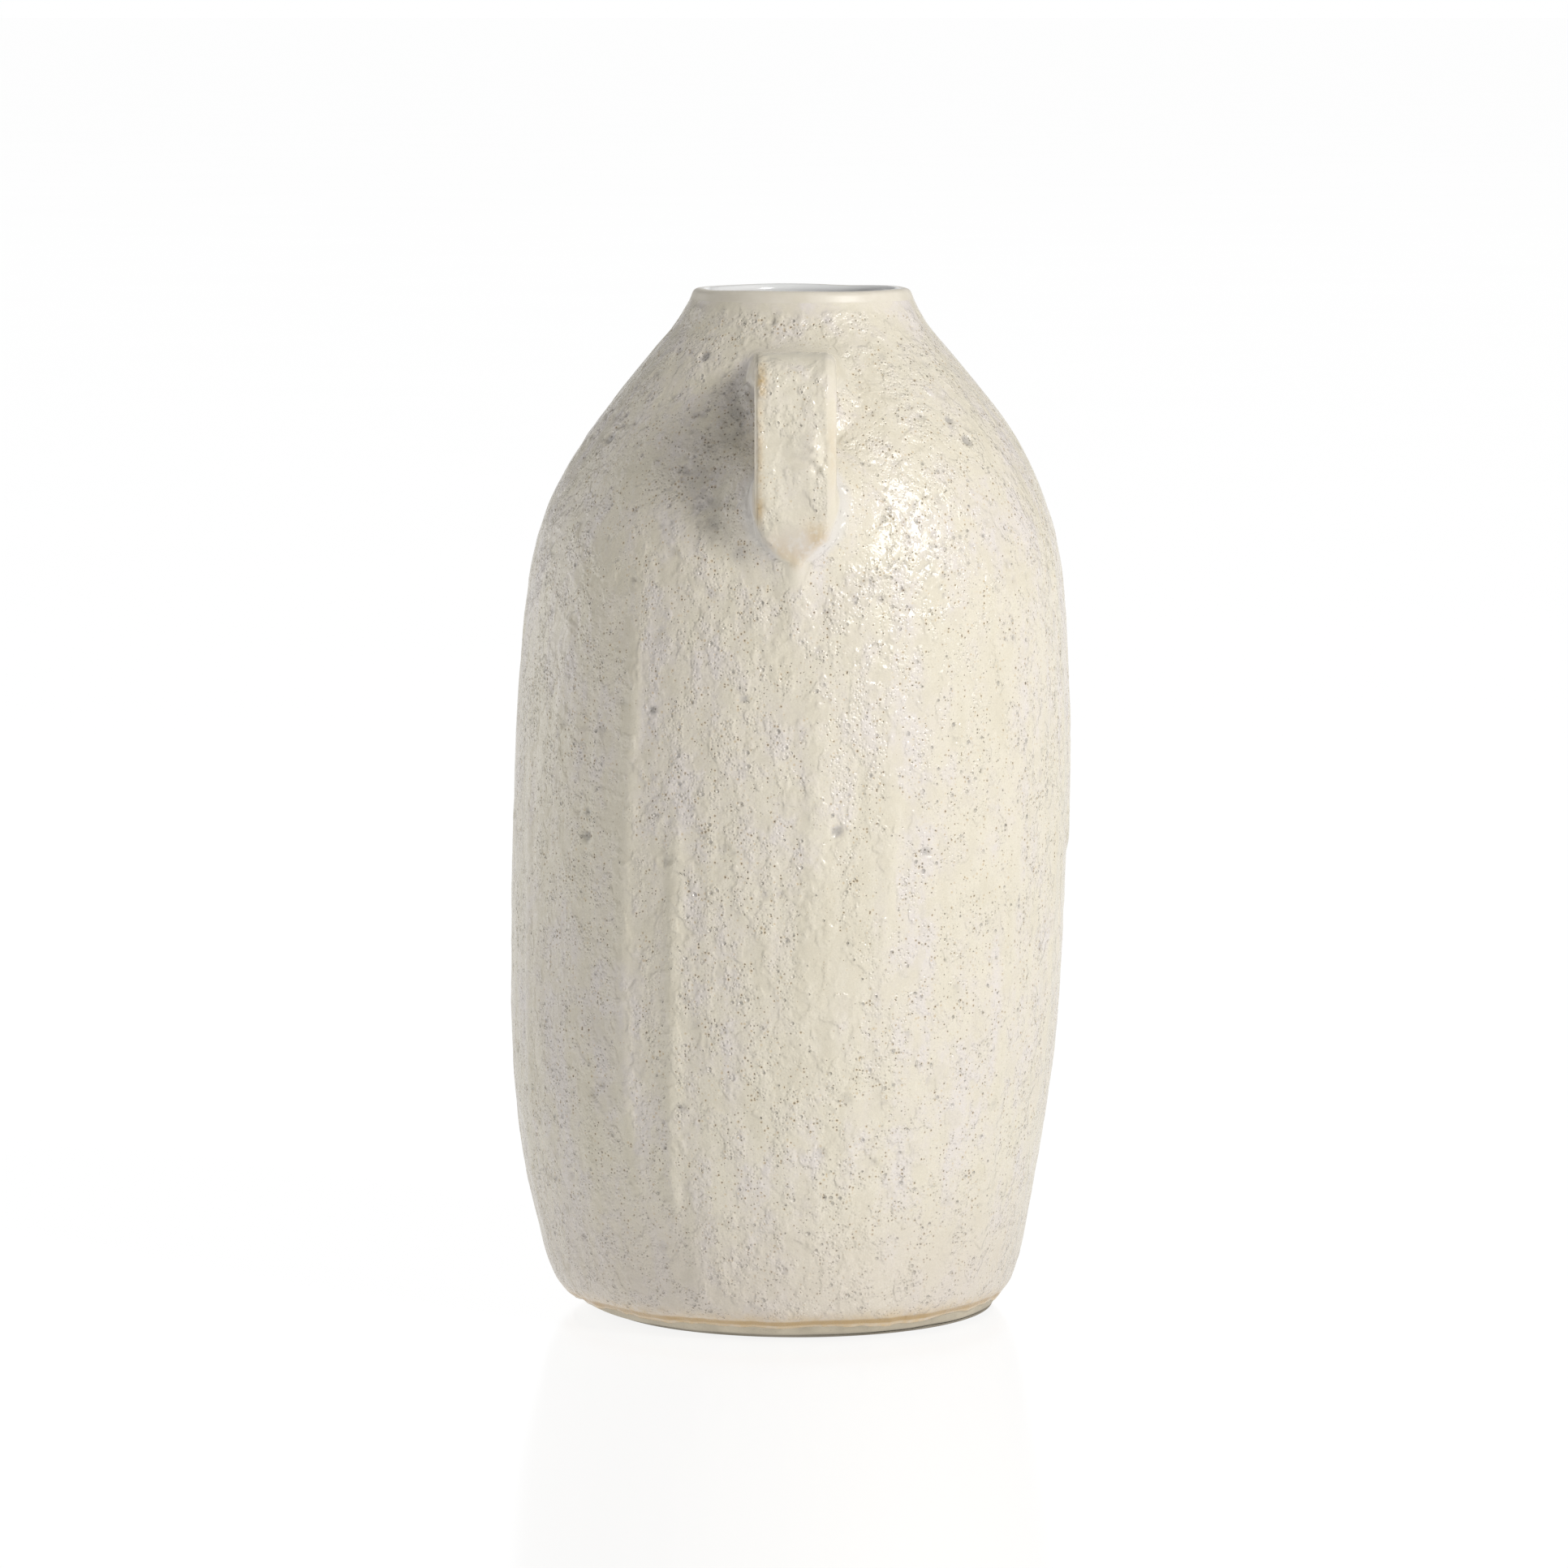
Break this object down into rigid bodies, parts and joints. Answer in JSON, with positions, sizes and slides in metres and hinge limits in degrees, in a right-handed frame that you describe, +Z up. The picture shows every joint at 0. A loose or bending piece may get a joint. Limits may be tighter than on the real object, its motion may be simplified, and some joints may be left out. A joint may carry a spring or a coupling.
{
  "type": "vase",
  "caption": "Tall rounded stoneware vase with a narrow mouth, a strap handle on the shoulder and a thick pitted cream glaze.",
  "frame": {"origin": "centre of the flat underside, on the plane that the vase stands on", "axes": "+Z up along the vase; the strap handle is on the -Y side; +X is to the right when the handle faces the viewer"},
  "size_m": [0.1666, 0.1667, 0.3048],
  "materials": {
    "stoneware_clay": "matt, bare fired clay, cream to buff",
    "crater_glaze": "thick cream glaze with pits, craters and runs, satin to glossy",
    "liner_glaze": "smooth glossy off-white"
  },
  "bodies": {
    "root": {"base_slab": "stoneware_clay", "body_wall": "stoneware_clay", "shoulder_dome": "stoneware_clay", "neck_collar": "stoneware_clay", "handle_strap": "stoneware_clay", "handle_top_pad": "stoneware_clay", "handle_bottom_pad": "stoneware_clay", "wall_glaze": "crater_glaze", "shoulder_glaze": "crater_glaze", "handle_glaze": "crater_glaze", "liner_glaze": "liner_glaze"}
  },
  "joints": []
}
